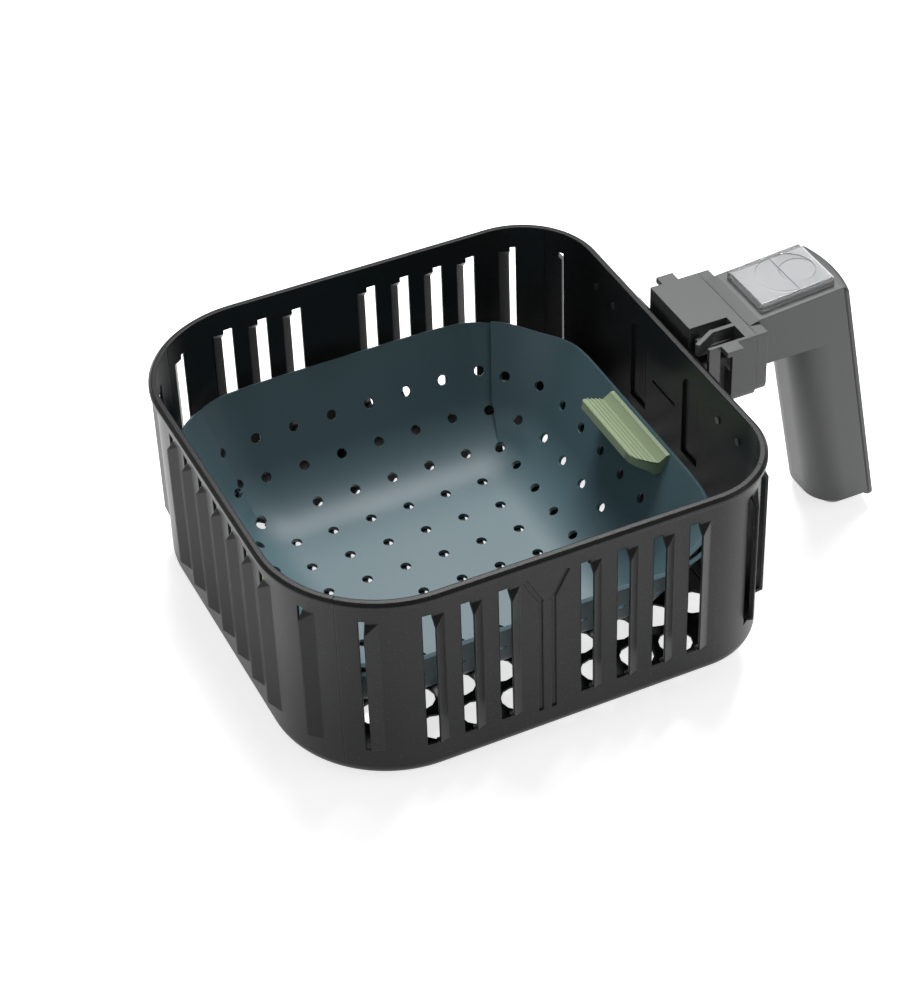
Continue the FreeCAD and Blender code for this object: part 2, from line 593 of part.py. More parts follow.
def handle_screws():
    """Two screws from the bracket's web through the housing into the handle."""
    tip = HOUSING_FRONT + " - dim.screw_length"
    screws = []
    for x in SCREWS:
        head = cylinder("screw_head", "dim.screw_head_r", "dim.screw_head",
                        (x, HOUSING_FRONT + " + dim.bracket_sheet", SCREW_Z), "Y")
        shank = cylinder("screw_shank", "dim.screw_r", "dim.screw_length + dim.bracket_sheet",
                         (x, tip, SCREW_Z), "Y")
        screws.append(fuse("screw", [head, shank]))
    return group("handle_screws", screws)


def seam(height):
    """Where the back cover's seam lies at a height: it leans out towards the grip's foot."""
    return "(%s - dim.seam_back - (%s - (%s)) * tan(dim.lean))" % (COLLAR_REAR, HOUSING_TOP, height)


def deck(y):
    """The height of the arm's sloping top at a place along it."""
    return "(%s + dim.deck_rise + (%s - (%s)) * tan(dim.deck_slope))" % (HOUSING_TOP, COLLAR_REAR, y)


def deck_end():
    """The height at which the arm's sloping top meets the leaning seam."""
    level = "%s + dim.deck_rise + dim.seam_back * tan(dim.deck_slope)" % HOUSING_TOP
    both = "tan(dim.lean) * tan(dim.deck_slope)"
    return "((%s + %s * %s) / (1 + %s))" % (level, HOUSING_TOP, both, both)


def grip():
    """The grip's D section, round towards the basket, leaning out to a rounded foot."""
    body = doc.addObject("PartDesign::Body", "grip")
    sketch = sketch_on(body, "XY_Plane", "-dim.foot_drop")
    back = seam("-dim.foot_drop")
    half, corner, rear = value("dim.arm_half"), value("dim.grip_corner"), value(back)
    front = rear + value("dim.grip_depth")
    corners = [quarter(point(sign * (half - corner), front - corner), corner, turn)
               for turn, sign in enumerate((1, -1))]
    far, far_corner, nose, near_corner, near, flat = outline(sketch, [
        Part.LineSegment(point(half, rear), corners[0].StartPoint), corners[0],
        Part.LineSegment(corners[0].EndPoint, corners[1].StartPoint), corners[1],
        Part.LineSegment(corners[1].EndPoint, point(-half, rear)),
        Part.LineSegment(point(-half, rear), point(half, rear))])
    level_lines(sketch, (nose, flat), (far, near))
    for arc in (far_corner, near_corner):
        hold(sketch, "Radius", arc, expression="dim.grip_corner")
    hold_point(sketch, far, "dim.arm_half", back)
    hold_point(sketch, near, x="-dim.arm_half")
    hold_point(sketch, nose, y=back + " + dim.grip_depth")
    leaning_pad(body, sketch, ARM_LOW + " + dim.foot_drop + dim.edge_round")
    foot = at_height("-dim.foot_drop")
    bevel_edges(body, "dim.foot_bevel", lambda p: foot(p) and (p.y > rear + CLOSE or abs(p.x) > half - CLOSE))
    return body


def handle_shell():
    """Collar, arm and grip in one moulding, hollow under the button."""
    half, low = "dim.housing_half", HOUSING_TOP + " - dim.collar_height"
    collar = block("collar", (less(half), COLLAR_REAR, low), (half, HOUSING_REAR, HOUSING_TOP),
                   "dim.housing_round", on_line(low, half, less(half)))
    arm = doc.addObject("PartDesign::Body", "arm")
    side = sketch_on(arm, "YZ_Plane")
    polygon(side, [(HOUSING_REAR, ARM_LOW), (HOUSING_REAR, HOUSING_TOP), (COLLAR_REAR, deck(COLLAR_REAR)),
                   (seam(deck_end()), deck_end()), (seam(ARM_LOW), ARM_LOW)])
    pad(arm, side, "2 * dim.arm_half", middle=True)
    cavity = box("cavity", ("-dim.cavity_half", CAVITY_FRONT + " - dim.cavity_length", CAVITY_FLOOR),
                 ("dim.cavity_half", CAVITY_FRONT, past(deck_end(), 2)))
    window = lever_window(past(CAVITY_FRONT, -1), past(HOUSING_REAR))
    pin_reach = "dim.pin_half + dim.hole_gap"
    pin_hole = cylinder("pin_hole", "dim.pin_r + dim.hole_gap", "2 * (%s)" % pin_reach,
                        (less(pin_reach), PIVOT_Y, PIVOT_Z), "X")
    screws = screw_holes(HOUSING_FRONT + " - dim.screw_length - dim.hole_gap", past(HOUSING_REAR))
    form = fuse("handle_form", [collar, arm, grip()])
    return cut("handle_shell", form, [cavity, window, pin_hole] + screws)


def handle_cover():
    """The crowned strip that closes the back of the handle and caps its top."""
    body = doc.addObject("PartDesign::Body", "handle_cover")
    low = "(dim.cover_step - dim.foot_drop)"
    sketch = sketch_on(body, "XY_Plane", low)
    half, rear = value("dim.arm_half"), value(seam(low))
    edge, crown = rear - value("dim.cover_edge"), rear - value("dim.cover_edge + dim.cover_crown")
    bow = Part.Arc(point(-half, edge), point(0, crown), point(half, edge))
    lines = [Part.LineSegment(point(half, edge), point(half, rear)),
             Part.LineSegment(point(half, rear), point(-half, rear)),
             Part.LineSegment(point(-half, rear), point(-half, edge))]
    far, flat, near = [sketch.addGeometry(line) for line in lines]
    back = sketch.addGeometry(bow)
    for first, second in ((far, flat), (flat, near), (near, back), (back, far)):
        sketch.addConstraint(Sketcher.Constraint("Coincident", first, 2, second, 1))
    level_lines(sketch, (flat,), (far, near))
    hold_point(sketch, flat, "dim.arm_half", seam(low))
    hold_point(sketch, near, x="-dim.arm_half")
    hold_point(sketch, far, y=seam(low) + " - dim.cover_edge")
    hold_point(sketch, back, y=seam(low) + " - dim.cover_edge")
    hold(sketch, "Radius", back, expression="(dim.arm_half^2 + dim.cover_crown^2) / (2 * dim.cover_crown)")
    leaning_pad(body, sketch, "%s + dim.cap_rise - %s" % (HOUSING_TOP, low))
    return body


def on_deck(item):
    """Set a piece that is built level about the bezel's front edge down on the sloping deck."""
    return place(item, ("0", CAVITY_FRONT, deck(CAVITY_FRONT)), "-dim.deck_slope", (1, 0, 0))


def button_bezel():
    """A frame round the button: a plug in the arm's opening, and a flange that the guard rides on."""
    neck = "(dim.bezel_half - dim.bezel_undercut)"
    plug_half = "dim.cavity_half - dim.plug_gap"
    plug_rear = "-dim.cavity_length + dim.plug_gap + dim.plug_depth * tan(dim.deck_slope)"
    form = [box("bezel_plug", (less(plug_half), plug_rear, "-dim.plug_depth"),
                (plug_half, "-dim.plug_gap", "0")),
            box("bezel_post", (less(neck), "-dim.bezel_length", "0"), (neck, "0", "dim.bezel_neck")),
            box("bezel_flange", ("-dim.bezel_half", "-dim.bezel_length", "dim.bezel_neck"),
                ("dim.bezel_half", "0", "dim.bezel_top"))]
    hole = cylinder("bezel_hole", "dim.button_dia / 2 + dim.button_gap",
                    past("dim.plug_depth + dim.bezel_top", 2),
                    ("0", "-dim.button_back", past("-dim.plug_depth", -1)))
    return on_deck(cut("button_bezel", fuse("bezel_form", form), [hole]))


def release_button():
    """The round button, its flange under the bezel, and the stem that pushes the lever."""
    low = "(-dim.plug_depth - dim.button_gap - dim.flange_thick)"
    spot = ("0", "-dim.button_back", low)
    form = [cylinder("button_cap", "dim.button_dia / 2", "dim.bezel_top - dim.button_sink - %s" % low, spot),
            cylinder("button_flange", "dim.button_dia / 2 + dim.flange_width", "dim.flange_thick", spot),
            cylinder("button_stem", "dim.stem_dia / 2", "dim.stem_length + dim.flange_thick",
                     ("0", "-dim.button_back", low + " - dim.stem_length"))]
    return on_deck(fuse("release_button", form))


def button_guard():
    """The clear cover that slides on the bezel's flange, with a thumb rest split by a bar."""
    rear = "(dim.guard_nose - dim.guard_length)"
    shell = block("guard_block", ("-dim.guard_half", rear, "dim.slide_gap"),
                  ("dim.guard_half", "dim.guard_nose", "dim.guard_top"),
                  "dim.edge_round", at_height("dim.guard_top"))
    over, under = "(dim.bezel_half + dim.slide_gap)", "(dim.bezel_half - dim.bezel_undercut + dim.slide_gap)"
    hollow = box("guard_hollow", (less(over), past(rear, -1), "dim.bezel_neck - dim.slide_gap"),
                 (over, "dim.slide_gap", "dim.guard_top - dim.guard_plate"))
    way = box("guard_way", (less(under), past(rear, -1), "0"), (under, "dim.slide_gap", "dim.bezel_neck"))
    circle = cylinder("thumb_circle", "dim.thumb_dia / 2", "2 * dim.thumb_depth",
                      ("0", "-dim.thumb_back", "dim.guard_top - dim.thumb_depth"))
    bar = box("thumb_bar", ("-dim.thumb_dia", "-dim.thumb_back - dim.thumb_bar / 2", "0"),
              ("dim.thumb_dia", "-dim.thumb_back + dim.thumb_bar / 2", "2 * dim.guard_top"))
    return on_deck(cut("button_guard", shell, [hollow, way, cut("thumb_rest", circle, [bar])]))


def release_lever():
    """A rocking lever: a tongue under the button, a tube on the pin, and a front arm with a hook."""
    outer, inner = "-dim.lever_arm_x - dim.lever_arm_thick", "-dim.lever_arm_x"
    arm_high, tip = PIVOT_Z + " - dim.lever_arm_drop", PIVOT_Y + " + dim.hook_reach"
    arm_low = arm_high + " - dim.lever_arm_height"
    tongue_end, tongue_low = PIVOT_Y + " - dim.tongue_length", TONGUE_TOP + " - dim.tongue_thick"
    form = [cylinder("lever_tube", "dim.tube_r", "2 * dim.tube_half",
                     ("-dim.tube_half", PIVOT_Y, PIVOT_Z), "X"),
            box("lever_tongue", ("-dim.tongue_half", tongue_end, tongue_low),
                ("dim.tongue_half", PIVOT_Y, TONGUE_TOP)),
            box("lever_arm", (outer, PIVOT_Y, arm_low), (inner, tip, arm_high)),
            box("lever_hook", (outer, tip + " - dim.hook_length", arm_low),
                (inner, tip, PIVOT_Z + " + dim.hook_rise"))]
    bore = cylinder("lever_bore", "dim.pin_r + dim.run_gap", past("2 * dim.tube_half", 2),
                    (past("-dim.tube_half", -1), PIVOT_Y, PIVOT_Z), "X")
    return cut("release_lever", fuse("lever_form", form), [bore])


def lever_pin():
    return cylinder("lever_pin", "dim.pin_r", "2 * dim.pin_half", ("-dim.pin_half", PIVOT_Y, PIVOT_Z), "X")


def button_spring():
    """A bent leaf spring: a flat foot on the cavity's floor, and a blade up to the lever's tongue."""
    body = doc.addObject("PartDesign::Body", "button_spring")
    back = lambda distance: "%s - %s" % (PIVOT_Y, distance)
    top = CAVITY_FLOOR + " + dim.leaf_thick"
    tip = TONGUE_TOP + " - dim.tongue_thick - dim.slide_gap"
    side = sketch_on(body, "YZ_Plane")
    polygon(side, [(back("dim.leaf_foot"), CAVITY_FLOOR), (back("dim.leaf_foot"), top),
                   (back("dim.leaf_bend + dim.leaf_thick / 2"), top),
                   (back("dim.leaf_tip + dim.leaf_thick"), tip), (back("dim.leaf_tip"), tip),
                   (back("dim.leaf_bend"), CAVITY_FLOOR)])
    pad(body, side, "dim.leaf_width", middle=True)
    return body


def liner_tray():
    """The whole soft tray, slit at its four corners."""
    outer, inner = bowl("liner_outer", "0", "dim.liner_top"), bowl("liner_inner", "dim.liner_sheet",
                                                                 past("dim.liner_top"))
    start, wide = LINER_FLAT + " * sqrt(2)", "dim.slit_width / 2"
    slits = [turned_box("slit", (start, "-" + wide, "dim.slit_low"),
                        ("2 * dim.wall_half", wide, past("dim.liner_top")),
                        ("dim.liner_x", "dim.liner_y", "0"), "%d" % heading)
             for heading in (45, 135, 225, 315)]
    return cut("liner_tray", cut("liner_bowl", outer, [inner]), slits)


def liner_pieces(tray):
    """The tray parted into its flat base and one flap for each side."""
    flat = LINER_FLAT + " - dim.liner_crease"
    middle = box("liner_middle", ("dim.liner_x - (%s)" % flat, "dim.liner_y - (%s)" % flat, past("0", -1)),
                 ("dim.liner_x + " + flat, "dim.liner_y + " + flat, "dim.liner_top"))
    base = doc.addObject("Part::Common", "liner_base")
    base.Base, base.Tool = tray, middle
    return [base] + quarters("liner_flap", cut("liner_skirt", tray, [middle]), ("dim.liner_x", "dim.liner_y"))


def liner_tab(name, sign, tray):
    """A moulded lift tab inside a flap's top edge: a lip, a valley and a shelf that rises inwards."""
    body = doc.addObject("PartDesign::Body", name + "_form")
    side = sketch_on(body, "YZ_Plane")
    flap = liner_half("dim.liner_sheet", "dim.liner_top - dim.sheet - dim.liner_gap")
    sunk = "dim.liner_sheet / 2"
    profile = [("-" + sunk, "0"), ("dim.tab_lip", "0"), ("dim.tab_valley", "-dim.tab_dip"),
               ("dim.tab_reach", "dim.tab_rise"),
               ("dim.tab_reach + dim.tab_edge", "dim.tab_rise - dim.tab_thick"),
               ("dim.tab_foot", "-dim.tab_drop"),
               ("dim.tab_drop / tan(dim.liner_lean) - " + sunk, "-dim.tab_drop")]
    polygon(side, [("%d * (%s - (%s))" % (sign, flap, inward), "dim.liner_top + (%s)" % rise)
                   for inward, rise in profile])
    pad(body, side, "dim.tab_length", middle=True)
    edge, end = value("%s - dim.tab_reach" % flap), value("dim.tab_length / 2")
    round_edges(body, "dim.tab_round", lambda p: abs(p.y) < edge + CLOSE and p.x < CLOSE - end)
    bind(body, Placement__Base__x="dim.liner_x + dim.tab_shift", Placement__Base__y="dim.liner_y")
    return cut(name, body, [tray])


def main():
    tray = liner_tray()
    pieces = basket_walls() + [
        basket_base(), handle_bracket(), bracket_rivets(), latch_housing(), handle_screws(), handle_shell(),
        handle_cover(), button_bezel(), lever_pin(), button_spring(), release_button(), release_lever(),
        button_guard(), liner_tab("liner_tab_front", -1, tray), liner_tab("liner_tab_rear", 1, tray)]
    pieces += liner_pieces(tray)
    doc.recompute()
    for item in doc.Objects:
        if "Invalid" in item.State or "Error" in item.State:
            raise RuntimeError("%s did not build: %s" % (item.Label, item.State))
    os.makedirs("parts", exist_ok=True)
    for piece in pieces:
        if piece.Shape.isNull() or not piece.Shape.isValid():
            raise RuntimeError("%s has no valid shape" % piece.Label)
        piece.Shape.exportStep("parts/%s.step" % piece.Label)
        print("%-16s solids %d, volume %.0f" % (piece.Label, len(piece.Shape.Solids), piece.Shape.Volume))


main()
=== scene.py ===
import math
import bmesh
import bpy
from mathutils import Matrix, Vector


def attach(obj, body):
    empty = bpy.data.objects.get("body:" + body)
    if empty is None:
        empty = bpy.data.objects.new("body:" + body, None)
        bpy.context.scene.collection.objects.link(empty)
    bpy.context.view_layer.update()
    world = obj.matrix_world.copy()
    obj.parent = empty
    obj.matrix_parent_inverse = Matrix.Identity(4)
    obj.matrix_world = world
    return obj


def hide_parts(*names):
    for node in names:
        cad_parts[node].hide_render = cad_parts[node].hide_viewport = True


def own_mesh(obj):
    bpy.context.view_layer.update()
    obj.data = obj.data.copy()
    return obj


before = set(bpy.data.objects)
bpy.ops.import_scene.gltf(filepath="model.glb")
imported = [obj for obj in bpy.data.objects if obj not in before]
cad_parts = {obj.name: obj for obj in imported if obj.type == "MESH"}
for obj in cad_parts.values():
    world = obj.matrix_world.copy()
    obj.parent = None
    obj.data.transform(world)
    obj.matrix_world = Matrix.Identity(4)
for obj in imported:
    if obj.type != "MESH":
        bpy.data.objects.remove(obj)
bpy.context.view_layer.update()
mm = 0.001
hair = 0.01 * mm  # points closer than this are one
up = Vector((0, 0, 1))

# What all finishes share: a fine bump over softened edges, flecks, and slow clouds of tone.
grain = {"bump": 0.15 * mm, "detail": 3, "edgeSamples": 6}
speckle = {"dot": 0.28}
clouds = {"detail": 4}


def newGroup(name, inputs, outputs):
    group = bpy.data.node_groups.new(name, "ShaderNodeTree")
    for side, sockets in (("INPUT", inputs), ("OUTPUT", outputs)):
        for socket, kind in sockets:
            group.interface.new_socket(socket, in_out=side, socket_type=kind)
    return group, group.nodes.new("NodeGroupInput"), group.nodes.new("NodeGroupOutput")


def objectNoise(tree, detail):
    coordinates = tree.nodes.new("ShaderNodeTexCoord")
    noise = tree.nodes.new("ShaderNodeTexNoise")
    noise.inputs["Detail"].default_value = detail
    tree.links.new(coordinates.outputs["Object"], noise.inputs["Vector"])
    return noise


def mathNode(tree, operation, first, second):
    node = tree.nodes.new("ShaderNodeMath")
    node.operation = operation
    for socket, given in zip(node.inputs, (first, second)):
        if isinstance(given, bpy.types.NodeSocket):
            tree.links.new(given, socket)
        else:
            socket.default_value = given
    return node.outputs[0]


def grainGroup():
    number = "NodeSocketFloat"
    group, given, result = newGroup("fineGrain", [("Scale", number), ("Strength", number), ("Edge", number)],
                                    [("Normal", "NodeSocketVector")])
    noise = objectNoise(group, grain["detail"])
    edge = group.nodes.new("ShaderNodeBevel")
    edge.samples = grain["edgeSamples"]
    bump = group.nodes.new("ShaderNodeBump")
    bump.inputs["Distance"].default_value = grain["bump"]
    group.links.new(given.outputs["Scale"], noise.inputs["Scale"])
    group.links.new(given.outputs["Edge"], edge.inputs["Radius"])
    group.links.new(given.outputs["Strength"], bump.inputs["Strength"])
    group.links.new(noise.outputs[0], bump.inputs["Height"])
    group.links.new(edge.outputs["Normal"], bump.inputs["Normal"])
    group.links.new(bump.outputs["Normal"], result.inputs["Normal"])
    return group


def speckleGroup():
    number = "NodeSocketFloat"
    group, given, result = newGroup("speckle", [("Scale", number), ("Amount", number)], [("Mask", number)])
    coordinates = group.nodes.new("ShaderNodeTexCoord")
    cells = group.nodes.new("ShaderNodeTexVoronoi")
    spread = group.nodes.new("ShaderNodeSeparateColor")
    group.links.new(coordinates.outputs["Object"], cells.inputs["Vector"])
    group.links.new(given.outputs["Scale"], cells.inputs["Scale"])
    group.links.new(cells.outputs["Color"], spread.inputs[0])
    rare = mathNode(group, "LESS_THAN", spread.outputs[0], given.outputs["Amount"])
    near = mathNode(group, "LESS_THAN", cells.outputs["Distance"], speckle["dot"])
    group.links.new(mathNode(group, "MULTIPLY", rare, near), result.inputs["Mask"])
    return group


groups = {"grain": grainGroup(), "speckle": speckleGroup()}


def addGroup(tree, name, **numbers):
    node = tree.nodes.new("ShaderNodeGroup")
    node.node_tree = groups[name]
    for socket, number in numbers.items():
        node.inputs[socket].default_value = number
    return node


def blendColours(tree, mask, low, high):
    mix = tree.nodes.new("ShaderNodeMix")
    mix.data_type = "RGBA"
    tree.links.new(mask, mix.inputs[0])
    for socket, colour in ((mix.inputs[6], low), (mix.inputs[7], high)):  # the colour sockets A and B
        if isinstance(colour, bpy.types.NodeSocket):
            tree.links.new(colour, socket)
        else:
            socket.default_value = (*colour, 1)
    return mix.outputs[2]


def rangeOf(tree, number, low, high):
    node = tree.nodes.new("ShaderNodeMapRange")
    node.inputs["To Min"].default_value = low
    node.inputs["To Max"].default_value = high
    tree.links.new(number, node.inputs["Value"])
    return node.outputs[0]


def surface(name, look):
    material = bpy.data.materials.new(name)
    material.use_nodes = True
    tree = material.node_tree
    shader = tree.nodes["Principled BSDF"]
    relief = addGroup(tree, "grain", Scale=look["grain"], Strength=look["strength"], Edge=look["edge"])
    tree.links.new(relief.outputs["Normal"], shader.inputs["Normal"])
    cloud = objectNoise(tree, clouds["detail"])
    cloud.inputs["Scale"].default_value = look["patches"]
    colour = blendColours(tree, cloud.outputs[0], look["low"], look["high"])
    if "fleck" in look:
        flecks = addGroup(tree, "speckle", Scale=look["fleckScale"], Amount=look["fleckAmount"])
        colour = blendColours(tree, flecks.outputs["Mask"], colour, look["fleck"])
    tree.links.new(colour, shader.inputs["Base Color"])
    tree.links.new(rangeOf(tree, cloud.outputs[0], *look["roughness"]), shader.inputs["Roughness"])
    for socket, number in look.get("sockets", {}).items():
        shader.inputs[socket].default_value = number
    return material


moulded = {"grain": 2600, "strength": 0.3, "edge": 0.5 * mm, "patches": 25, "roughness": (0.4, 0.5)}
glossy = {"grain": 1500, "strength": 0.06, "edge": 0.4 * mm, "patches": 25, "roughness": (0.28, 0.38),
          "sockets": {"Specular IOR Level": 0.25}}
metallic = {"grain": 2500, "strength": 0.1, "edge": 0.2 * mm, "patches": 60, "roughness": (0.28, 0.4),
            "sockets": {"Metallic": 1.0}}
silicone = {"grain": 3200, "strength": 0.12, "edge": 0.3 * mm, "patches": 18, "roughness": (0.44, 0.52)}
looks = {
    "coating": {"low": (0.007, 0.0072, 0.0076), "high": (0.011, 0.0112, 0.0118), "roughness": (0.3, 0.4),
                "grain": 1400, "strength": 0.16, "edge": 0.8 * mm, "patches": 25,
                "fleck": (0.03, 0.0305, 0.032), "fleckScale": 1300, "fleckAmount": 0.1,
                "sockets": {"Specular IOR Level": 0.23}},
    "greyPlastic": {**moulded, "low": (0.044, 0.0455, 0.047), "high": (0.054, 0.0555, 0.057)},
    "coverPlastic": {**moulded, "low": (0.048, 0.0495, 0.051), "high": (0.058, 0.0595, 0.061)},
    "leverPlastic": {**moulded, "low": (0.12, 0.12, 0.125), "high": (0.15, 0.15, 0.155)},
    "palePlastic": {**glossy, "low": (0.6, 0.605, 0.61), "high": (0.66, 0.665, 0.67)},
    "buttonPlastic": {**glossy, "low": (0.64, 0.645, 0.65), "high": (0.7, 0.705, 0.71)},
    "clearPlastic": {**glossy, "low": (0.95, 0.965, 0.97), "high": (0.98, 0.985, 0.99), "strength": 0.005,
                     "roughness": (0.04, 0.09),
                     "sockets": {"Transmission Weight": 0.92, "IOR": 1.49, "Specular IOR Level": 0.2}},
    "steel": {**metallic, "low": (0.5, 0.5, 0.51), "high": (0.6, 0.6, 0.61)},
    "rivetMetal": {**metallic, "low": (0.16, 0.16, 0.165), "high": (0.22, 0.22, 0.225)},
    "slate": {**silicone, "low": (0.066, 0.12, 0.14), "high": (0.074, 0.133, 0.154)},
    "sage": {**silicone, "low": (0.225, 0.29, 0.17), "high": (0.265, 0.335, 0.205)},
}
materials = {name: surface(name, look) for name, look in looks.items()}
print("materials ready")

nodeMaterials = {
    "basket_wall_near": "coating", "basket_wall_far": "coating", "basket_wall_rear": "coating",
    "basket_wall_handle": "coating", "basket_base": "coating", "handle_bracket": "coating",
    "bracket_rivets": "rivetMetal", "latch_housing": "greyPlastic", "handle_shell": "greyPlastic",
    "handle_screws": "steel", "button_bezel": "palePlastic", "lever_pin": "steel",
    "release_button": "buttonPlastic", "release_lever": "leverPlastic",
    "button_guard": "clearPlastic",
}
for nodeName, materialName in nodeMaterials.items():
    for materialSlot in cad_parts[nodeName].material_slots:
        materialSlot.material = materials[materialName]
print("frame dressed")

finish = {"sharpAngle": math.radians(35)}


def meshOf(shape, name):
    bmesh.ops.recalc_face_normals(shape, faces=shape.faces)
    mesh = bpy.data.meshes.new(name)
    shape.to_mesh(mesh)
    shape.free()
    return mesh


def addObject(name, content):
    item = bpy.data.objects.new(name, content)
    bpy.context.scene.collection.objects.link(item)
    return item


def finishPiece(mesh, name, material, body, nodes):
    mesh.shade_smooth()
    mesh.set_sharp_from_angle(angle=finish["sharpAngle"])
    mesh.materials.clear()
    mesh.materials.append(materials[material])
    piece = addObject(name, mesh)
    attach(piece, body)
    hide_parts(*nodes)
    return piece


# One face, extruded through every section in turn; the first and the last close the ends.
def sweptShape(sections):
    shape = bmesh.new()
    face = shape.faces.new([shape.verts.new(spot) for spot in sections[0]])
    for section in sections[1:]:
        grown = bmesh.ops.extrude_face_region(shape, geom=[face, *face.edges])["geom"]
        face = next(item for item in grown if isinstance(item, bmesh.types.BMFace))
        for vert, spot in zip(face.verts, section):
            vert.co = spot
    return shape


# The liner is a flat square base that bends up to four leaning flaps, slit apart at the corners.
liner = {"centre": Vector((1.5, 5.5, 0)) * mm, "flat": 46 * mm, "bend": 42 * mm, "lean": math.radians(61),
         "low": 1.5 * mm, "top": 55.5 * mm, "thick": 1.8 * mm, "crease": 2 * mm, "corner": 46 * mm,
         "firstRing": 0.9, "columns": 44, "bendSteps": 22, "straightSteps": 8, "slitStep": 10}
liner["rise"] = liner["top"] - liner["low"]
liner["half"] = (liner["flat"] + liner["bend"] * math.sin(liner["lean"])
                 + (liner["rise"] - liner["bend"] * (1 - math.cos(liner["lean"]))) / math.tan(liner["lean"]))
# The end flaps lap over the side flaps. Places run from 0 at a flap's middle, or at the slit's foot, to 1.
endFlap = {"lap": 16 * mm, "lift": 2.1 * mm, "liftAlong": (0.58, 0.8), "liftUp": (0, 1 / 3),
           "drop": 3.5 * mm, "dropAlong": (0.4, 0.75), "recover": 0.75, "recoverAlong": (0.78, 1)}
sideFlap = {"gap": 0.4 * mm, "gapUp": (0, 0.25), "drop": 7 * mm, "dropPower": 4}
linerNodes = ["liner_base", "liner_flap_near", "liner_flap_far", "liner_flap_rear", "liner_flap_handle"]


def ramp(place, start, end):
    x = min(max((place - start) / (end - start), 0.0), 1.0)
    return x * x * (3 - 2 * x)


def profilePoint(length):
    bend, flat, lean = liner["bend"], liner["flat"], liner["lean"]
    turn = min(max(length - flat, 0) / bend, lean)
    straight = max(length - flat - bend * lean, 0)
    out = min(length, flat) + bend * math.sin(turn) + straight * math.cos(lean)
    z = liner["low"] + bend * (1 - math.cos(turn)) + straight * math.sin(lean)
    return out, z, turn


def linerRings():
    flat, curved = liner["flat"], liner["bend"] * liner["lean"]
    bendSteps, straightSteps = liner["bendSteps"], liner["straightSteps"]
    straight = (liner["half"] - profilePoint(flat + curved)[0]) / math.cos(liner["lean"])
    lengths = [liner["firstRing"] * flat]
    lengths += [flat + curved * step / bendSteps for step in range(bendSteps + 1)]
    lengths += [flat + curved + straight * (step + 1) / straightSteps for step in range(straightSteps)]
    return [profilePoint(length)[:2] for length in lengths]


def cornerRadius(half):
    share = (half - liner["flat"]) / (liner["half"] - liner["flat"])
    return max(liner["crease"] + (liner["corner"] - liner["crease"]) * share, hair)


def sidePoint(half, along, inward=0):
    radius = cornerRadius(half)
    straight = half - radius
    turn = math.copysign(max(abs(along) - straight, 0) / radius, along)
    reach = radius - inward
    flatPart = min(max(along, -straight), straight)
    return Vector((straight + reach * math.cos(turn), flatPart + reach * math.sin(turn))), turn


def linerPoint(side, half, z, rise, share):
    radius = cornerRadius(half)
    length = half - radius + radius * math.pi / 4
    past = abs(share)
    if side % 2:
        length += endFlap["lap"] * rise
        lift = endFlap["lift"] * ramp(past, *endFlap["liftAlong"]) * ramp(rise, *endFlap["liftUp"])
        recover = endFlap["recover"] * ramp(past, *endFlap["recoverAlong"])
        drop = endFlap["drop"] * ramp(past, *endFlap["dropAlong"]) * (1 - recover)
    else:
        length -= sideFlap["gap"] * ramp(rise, *sideFlap["gapUp"])
        lift, drop = 0, sideFlap["drop"] * past ** sideFlap["dropPower"]
    spot = sidePoint(half, share * length, lift)[0]
    spot = Matrix.Rotation(math.radians(90 * side), 2) @ spot
    return liner["centre"] + Vector((spot.x, spot.y, z - drop * rise ** 2))


def linerSkin():
    shape = bmesh.new()
    rings, columns = linerRings(), liner["columns"]
    last, slitRing = len(rings) - 1, 1 + liner["slitStep"]
    seam = []
    for side in range(4):
        grid = bmesh.ops.create_grid(shape, x_segments=columns, y_segments=last, size=1)["verts"]
        for number, vert in enumerate(grid):
            ring, column = divmod(number, columns + 1)
            half, z = rings[ring]
            rise = max(0, ring - slitRing) / (last - slitRing)
            vert.co = linerPoint(side, half, z, rise, 2 * column / columns - 1)
            if ring <= slitRing and column in (0, columns):
                seam.append(vert)
    bmesh.ops.remove_doubles(shape, verts=seam, dist=hair)
    inner = [edge for edge in shape.edges if edge.is_boundary
             and all(abs(vert.co.z - liner["low"]) < hair for vert in edge.verts)]
    bmesh.ops.holes_fill(shape, edges=inner, sides=0)
    return shape


# The holes stand in one square grid, laid out flat before the sheet is bent.
holes = {"pitch": 18.8 * mm, "radius": 2.4 * mm, "sides": 20, "shift": 2.4 * mm, "depth": 10 * mm,
         "baseMargin": 2 * mm, "lastRow": 108 * mm, "sideReach": 69 * mm, "endReach": 70 * mm,
         "topRow": 2, "topEndReach": 88 * mm}
holes["baseEdge"] = liner["flat"] + holes["baseMargin"]


def gridPlaces(shift, low, high):
    steps = 1 + math.ceil(holes["lastRow"] / holes["pitch"])
    places = [shift + (step + 0.5) * holes["pitch"] for step in range(-steps, steps)]
    return [place for place in places if low <= place <= high]


def baseHoles():
    edge = holes["baseEdge"]
    return [(Vector((x, y, liner["low"])), up)
            for x in gridPlaces(0, -edge, edge) for y in gridPlaces(holes["shift"], -edge, edge)]


def rowReach(side, row):
    if side % 2:
        reach = holes["topEndReach"] if row == holes["topRow"] else holes["endReach"]
    else:
        reach = holes["sideReach"]
    return reach if row else min(reach, holes["baseEdge"])


